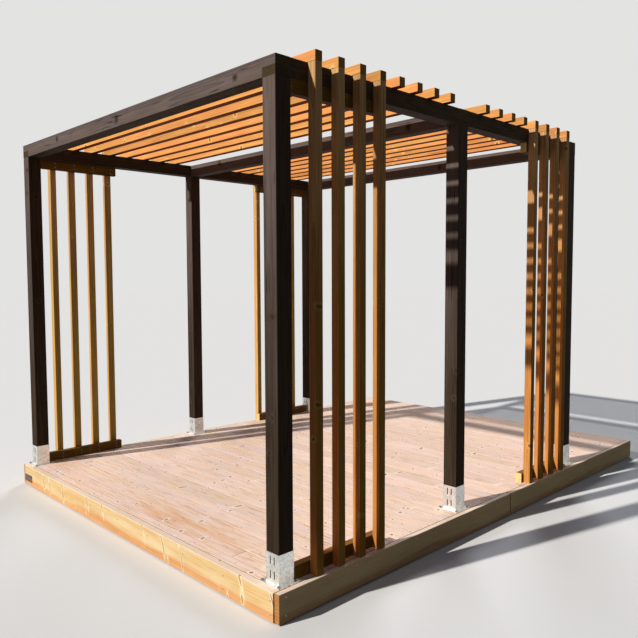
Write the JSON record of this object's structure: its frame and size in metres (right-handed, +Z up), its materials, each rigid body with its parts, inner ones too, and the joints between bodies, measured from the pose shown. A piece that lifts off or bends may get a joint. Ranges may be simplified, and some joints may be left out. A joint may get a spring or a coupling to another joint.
{
  "type": "timber garden pergola",
  "caption": "Open timber pergola on a low plank deck, with dark square posts and half-lapped beams, a slatted roof and upright batten screens at the corners.",
  "frame": {"origin": "middle of the underside, at ground level, below the centre of the box around the pergola and its deck", "axes": "+X along the long sides from the front edge of the deck to the back edge, +Y from the right side to the left side, +Z up"},
  "size_m": [4.34, 3.243, 2.805],
  "materials": {
    "edge_plank": "planed softwood, fresh and golden",
    "side_fascia": "planed softwood",
    "joist_timber": "rough sawn softwood",
    "deck_board": "bare softwood, matt",
    "stained_frame": "black-brown wood stain, satin",
    "slat_timber": "warm brown oiled softwood",
    "batten_timber": "warm brown oiled softwood",
    "rail_timber": "warm brown oiled softwood",
    "galvanised_steel": "hot-dip galvanised, spangled",
    "dark_plate": "dark, bare and unmarked, matt",
    "zinc_screws": "zinc plated"
  },
  "bodies": {
    "root": {"fascia_front": "edge_plank", "fascia_back": "edge_plank", "fascia_right_front": "side_fascia", "fascia_right_back": "side_fascia", "fascia_left_front": "side_fascia", "fascia_left_back": "side_fascia", "deck_joists": "joist_timber", "deck_noggings": "joist_timber", "deck_boards": "deck_board", "post_right_front": "stained_frame", "shoe_right_front": "galvanised_steel", "post_right_middle": "stained_frame", "shoe_right_middle": "galvanised_steel", "post_right_back": "stained_frame", "shoe_right_back": "galvanised_steel", "post_left_front": "stained_frame", "shoe_left_front": "galvanised_steel", "post_left_middle": "stained_frame", "shoe_left_middle": "galvanised_steel", "post_left_back": "stained_frame", "shoe_left_back": "galvanised_steel", "shoe_screws": "zinc_screws", "blank_plate": "dark_plate", "beam_right": "stained_frame", "beam_left": "stained_frame", "beam_front": "stained_frame", "beam_middle": "stained_frame", "beam_back": "stained_frame", "roof_slats_front": "slat_timber", "roof_slats_back": "slat_timber", "top_rail_right_front": "rail_timber", "bottom_rail_right_front": "rail_timber", "battens_right_front": "batten_timber", "top_rail_right_back": "rail_timber", "bottom_rail_right_back": "rail_timber", "battens_right_back": "batten_timber", "top_rail_left_front": "rail_timber", "bottom_rail_left_front": "rail_timber", "battens_left_front": "batten_timber", "top_rail_left_back": "rail_timber", "bottom_rail_left_back": "rail_timber", "battens_left_back": "batten_timber"}
  },
  "joints": []
}
